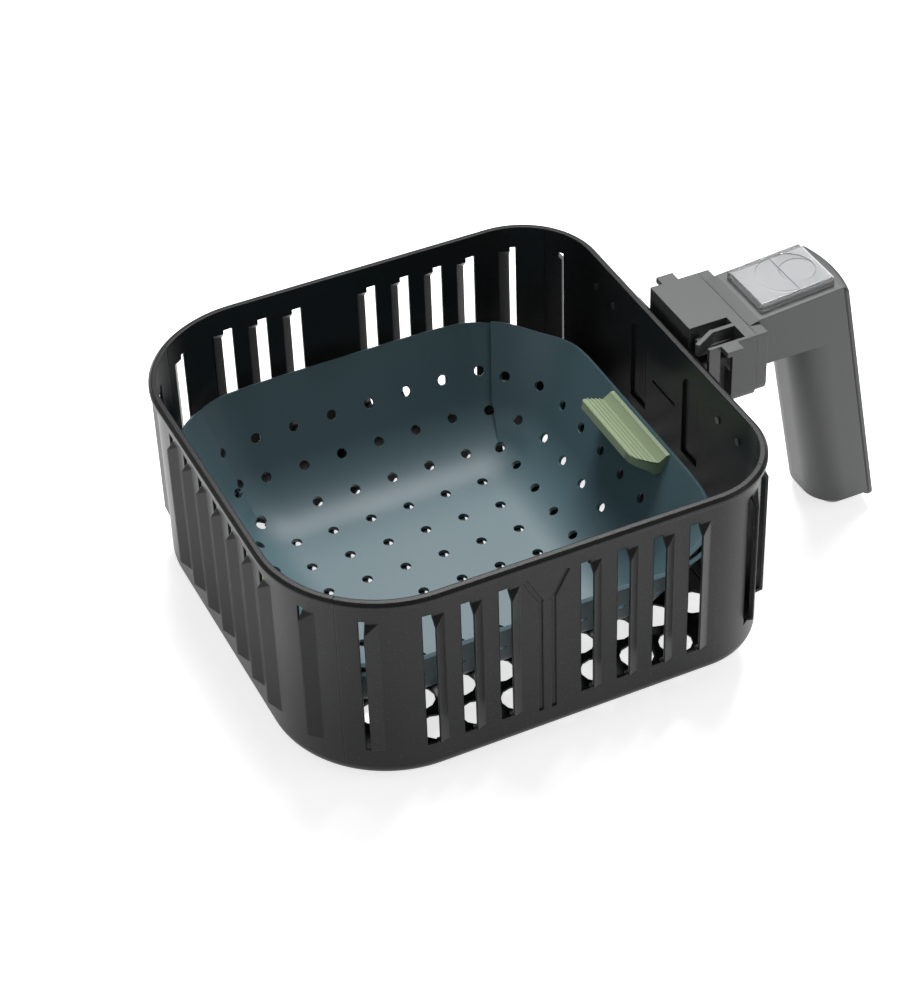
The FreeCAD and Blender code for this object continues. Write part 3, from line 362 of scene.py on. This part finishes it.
def flapHoles(side):
    spin = Matrix.Rotation(math.radians(90 * side), 3, "Z")
    shift = spin.transposed() @ Vector((0, holes["shift"], 0))
    spots = []
    for row, length in enumerate(gridPlaces(shift.x, holes["baseEdge"], holes["lastRow"])):
        out, z, lean = profilePoint(length)
        reach = rowReach(side, row)
        for along in gridPlaces(shift.y, -reach, reach):
            spot, turn = sidePoint(out, along)
            level = math.sin(lean)
            axis = Vector((level * math.cos(turn), level * math.sin(turn), -math.cos(lean)))
            spots.append((spin @ Vector((spot.x, spot.y, z)), spin @ axis))
    return spots


# A round hole ends each slit, so that it doesn't tear on.
def slitHoles():
    half, z = linerRings()[1 + liner["slitStep"]]
    corner = half - cornerRadius(half) * (1 - math.sqrt(0.5))
    return [(Vector((x, y, z)), up) for x in (-corner, corner) for y in (-corner, corner)]


def holePlugs():
    shape = bmesh.new()
    places = baseHoles() + [place for side in range(4) for place in flapHoles(side)] + slitHoles()
    for spot, axis in places:
        turn = axis.to_track_quat("Z", "X").to_matrix().to_4x4()
        bmesh.ops.create_cone(shape, cap_ends=True, segments=holes["sides"], radius1=holes["radius"],
                              radius2=holes["radius"], depth=holes["depth"],
                              matrix=Matrix.Translation(liner["centre"] + spot) @ turn)
    return shape


def linerPiece():
    skin = addObject("linerSkin", meshOf(linerSkin(), "linerSkin"))
    plugs = addObject("linerPlugs", meshOf(holePlugs(), "linerPlugs"))
    solid = skin.modifiers.new("thickness", "SOLIDIFY")
    solid.thickness = liner["thick"]
    solid.offset = -1
    punch = skin.modifiers.new("holes", "BOOLEAN")
    punch.operation = "DIFFERENCE"
    punch.solver = "EXACT"
    punch.use_self = True  # the laps cross the side flaps
    punch.object = plugs
    graph = bpy.context.evaluated_depsgraph_get()
    mesh = bpy.data.meshes.new_from_object(skin.evaluated_get(graph))
    mesh.name = "linerTray"
    for helper in (skin, plugs):
        bpy.data.objects.remove(helper)
    finishPiece(mesh, "linerTray", "slate", "liner", linerNodes)


# A lift tab hangs on the flap's top edge: a lip, a valley and a ribbed shelf that reaches inward.
tab = {"length": 52 * mm, "shift": -6 * mm, "stations": 45, "lip": 2.4 * mm, "valley": 5.8 * mm,
       "dip": 2.8 * mm, "reach": 16 * mm, "rise": 1 * mm, "edge": 1.5 * mm, "nose": 0.2 * mm, "tuck": 0.3,
       "thick": 4.2 * mm, "foot": 8.2 * mm, "drop": 8.5 * mm, "chamfer": 0.6 * mm,
       "nearRound": 12 * mm, "farRound": 2 * mm, "rearTrim": 6 * mm, "weld": 0.02 * mm}
ridge = {"count": 4, "first": 7.4 * mm, "pitch": 2 * mm, "half": 0.55 * mm, "flatShare": 0.5,
         "rise": 0.5 * mm}
tab["end"] = tab["reach"] + tab["edge"]
tab["slope"] = (tab["rise"] + tab["dip"]) / (tab["reach"] - tab["valley"])


def shelfTop(inward):
    return (inward - tab["valley"]) * tab["slope"] - tab["dip"]


def ridgeLine(middle):
    half, crest = ridge["half"], ridge["flatShare"] * ridge["half"]
    return [(middle + inward, shelfTop(middle + inward) + rise)
            for inward, rise in ((-half, 0), (-crest, ridge["rise"]), (crest, ridge["rise"]), (half, 0))]


def tabProfile():
    edge, end, under = tab["chamfer"], tab["end"], tab["rise"] - tab["thick"]
    line = [(tab["drop"] / math.tan(liner["lean"]), -tab["drop"]), (0, 0), (tab["lip"] - edge, 0),
            (tab["lip"], -edge), (tab["valley"], -tab["dip"])]
    for number in range(ridge["count"]):
        line += ridgeLine(ridge["first"] + number * ridge["pitch"])
    return line + [(tab["reach"] - edge, shelfTop(tab["reach"] - edge)),
                   (tab["reach"] + tab["nose"], tab["rise"] - edge), (end, under + edge),
                   (end - edge, under - tab["tuck"] * edge), (tab["foot"], -tab["drop"])]


def tabCut(x):
    radius = tab["nearRound"] if x < 0 else tab["farRound"]
    past = max(abs(x) - tab["length"] / 2 + radius, 0)
    return tab["end"] - radius + math.sqrt(max(radius ** 2 - past ** 2, 0))


def tabSection(x, sign, trim):
    flap = liner["half"] - liner["thick"] / math.sin(liner["lean"])
    leastReach = tab["end"] - tab["nearRound"]  # any less would come out through the flap
    cut = max(tabCut(x) - trim, leastReach)
    section = []
    for inward, rise in tabProfile():
        near = min(inward, cut)
        z = liner["top"] + rise - (inward - near) * tab["slope"]
        section.append(liner["centre"] + Vector((x + tab["shift"], sign * (flap - near), z)))
    return section


def tabPiece(name, sign, node, trim=0):
    half, last = tab["length"] / 2, tab["stations"] - 1
    turns = [(station / last - 0.5) * math.pi for station in range(tab["stations"])]  # closer at the ends
    shape = sweptShape([tabSection(half * math.sin(turn), sign, trim) for turn in turns])
    bmesh.ops.dissolve_degenerate(shape, edges=shape.edges, dist=tab["weld"])
    finishPiece(meshOf(shape, name), name, "sage", "liner", [node])


linerPiece()
tabPiece("frontTab", -1, "liner_tab_front")
tabPiece("rearTab", 1, "liner_tab_rear", tab["rearTrim"])
print("liner made")

# The strip that closes the back of the handle; it leans with the grip and meets it at a fine groove.
cover = {"half": 19.1 * mm, "edge": 2.6 * mm, "crown": 3.2 * mm, "low": -21 * mm, "high": 106.2 * mm,
         "seam": -185.7 * mm, "seamHeight": 102.3 * mm, "lean": math.radians(10), "lowRound": 4 * mm,
         "highRound": 2 * mm, "groove": 0.6 * mm, "grooveWidth": 0.5 * mm, "bowSteps": 18, "roundSteps": 7}


def coverOutline():
    half, groove, start = cover["half"], cover["groove"], cover["grooveWidth"]
    radius = (half ** 2 + cover["crown"] ** 2) / (2 * cover["crown"])
    bow = [half * (1 - 2 * step / cover["bowSteps"]) for step in range(cover["bowSteps"] + 1)]
    back = [(x, cover["edge"] + cover["crown"] - radius + math.sqrt(radius ** 2 - x ** 2)) for x in bow]
    return ([(groove - half, 0), (half - groove, 0), (half - groove, start), (half, start + groove)] + back
            + [(-half, start + groove), (groove - half, start)])


def coverLevels():
    turns = [math.pi / 2 * step / cover["roundSteps"] for step in range(cover["roundSteps"] + 1)]
    low, high = cover["lowRound"], cover["highRound"]
    foot = [(cover["low"] + low * (1 - math.cos(turn)), low * (1 - math.sin(turn))) for turn in turns]
    cap = [(cover["high"] - high * (1 - math.cos(turn)), high * (1 - math.sin(turn))) for turn in turns]
    return foot + cap[::-1]


def coverSection(z, inset):
    depth = cover["edge"] + cover["crown"]
    seam = cover["seam"] - (cover["seamHeight"] - z) * math.tan(cover["lean"])
    return [Vector((x * (1 - inset / cover["half"]), seam - back * (1 - inset / depth), z))
            for x, back in coverOutline()]


def coverPiece():
    shape = sweptShape([coverSection(z, inset) for z, inset in coverLevels()])
    finishPiece(meshOf(shape, "backCover"), "backCover", "coverPlastic", "basket", ["handle_cover"])


# The leaf spring under the lever's tongue: a flat foot on the cavity's floor and a blade that gives way.
leaf = {"half": 4 * mm, "foot": -160 * mm, "bend": -167 * mm, "tip": -177 * mm, "floor": 86 * mm,
        "top": 93.2 * mm, "thick": 0.6 * mm, "keep": 0.4}


def leafPiece():
    low, thick = leaf["floor"], leaf["thick"]
    profile = [(leaf["foot"], low), (leaf["foot"], low + thick), (leaf["bend"] - thick / 2, low + thick),
               (leaf["tip"], leaf["top"]), (leaf["tip"] - thick, leaf["top"]), (leaf["bend"], low)]
    shape = sweptShape([[(x, y, z) for y, z in profile] for x in (-leaf["half"], leaf["half"])])
    piece = finishPiece(meshOf(shape, "leafSpring"), "leafSpring", "steel", "basket", ["button_spring"])
    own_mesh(piece)


coverPiece()
leafPiece()
print("cover and spring made")

# The basket stands tilted, on its rear bottom edge and on the handle's foot.
floor = {"tilt": 4.69, "height": -8.7 * mm, "size": 6, "colour": (0.85, 0.85, 0.85), "glow": 0.72,
         "roughness": 0.9, "specular": 0.1}
# The photograph's camera, fitted to the rim, the wall and the handle.
camera = {"spot": Vector((-847.5, 378.2, 813.3)) * mm, "yaw": -24.41, "pitch": 39.70, "roll": -2.01,
          "focalPixels": 2762.7, "frameHeight": 1000, "sensor": 36, "nearest": 0.01, "farthest": 50}
lights = {
    "main": {"spot": (0.76, -0.53, 1.65), "aim": (0, 0, 0), "size": 0.9, "power": 46},
    "handleSide": {"spot": (-0.8, -1.0, 0.5), "aim": (0, 0, 0.05), "size": 0.7, "power": 2},
    "rearSide": {"spot": (-0.3, 1.3, 0.25), "aim": (0, 0, 0.05), "size": 0.7, "power": 4},
}
sky = {"colour": (1.0, 1.0, 1.0), "strength": 0.22}


def addFloor():
    shape = bmesh.new()
    bmesh.ops.create_grid(shape, x_segments=1, y_segments=1, size=floor["size"],
                          matrix=Matrix.Translation((0, 0, floor["height"]))
                          @ Matrix.Rotation(math.radians(floor["tilt"]), 4, "X"))
    mesh = meshOf(shape, "floor")
    paper = bpy.data.materials.new("floorPaper")
    paper.use_nodes = True
    shader = paper.node_tree.nodes["Principled BSDF"]
    shader.inputs["Base Color"].default_value = (*floor["colour"], 1)
    shader.inputs["Emission Color"].default_value = (1, 1, 1, 1)
    shader.inputs["Emission Strength"].default_value = floor["glow"]
    shader.inputs["Roughness"].default_value = floor["roughness"]
    shader.inputs["Specular IOR Level"].default_value = floor["specular"]
    mesh.materials.append(paper)
    addObject("floor", mesh)


def addCamera():
    yaw, pitch, roll = (math.radians(camera[key]) for key in ("yaw", "pitch", "roll"))
    ahead = Vector((math.cos(pitch) * math.cos(yaw), math.cos(pitch) * math.sin(yaw), -math.sin(pitch)))
    right = ahead.cross(up).normalized()
    above = right.cross(ahead)
    across = math.cos(roll) * right + math.sin(roll) * above
    upward = math.cos(roll) * above - math.sin(roll) * right
    data = bpy.data.cameras.new("camera")
    data.sensor_fit = "AUTO"
    data.sensor_width = camera["sensor"]
    data.lens = camera["focalPixels"] / camera["frameHeight"] * camera["sensor"]
    data.clip_start, data.clip_end = camera["nearest"], camera["farthest"]
    data.dof.use_dof = False
    view = addObject("camera", data)
    view.matrix_world = Matrix((across, upward, -ahead)).transposed().to_4x4()
    view.location = camera["spot"]
    bpy.context.scene.camera = view


def addLights():
    for name, light in lights.items():
        data = bpy.data.lights.new(name, "AREA")
        data.shape = "SQUARE"
        data.size = light["size"]
        data.energy = light["power"]
        lamp = addObject(name, data)
        lamp.location = light["spot"]
        lamp.rotation_euler = (Vector(light["aim"]) - lamp.location).to_track_quat("-Z", "Y").to_euler()
    world = bpy.data.worlds.new("studio")
    world.use_nodes = True
    ground = world.node_tree.nodes["Background"]
    ground.inputs["Color"].default_value = (*sky["colour"], 1)
    ground.inputs["Strength"].default_value = sky["strength"]
    bpy.context.scene.world = world
    bpy.context.scene.view_settings.view_transform = "Standard"


addFloor()
addCamera()
addLights()
print("stage set")
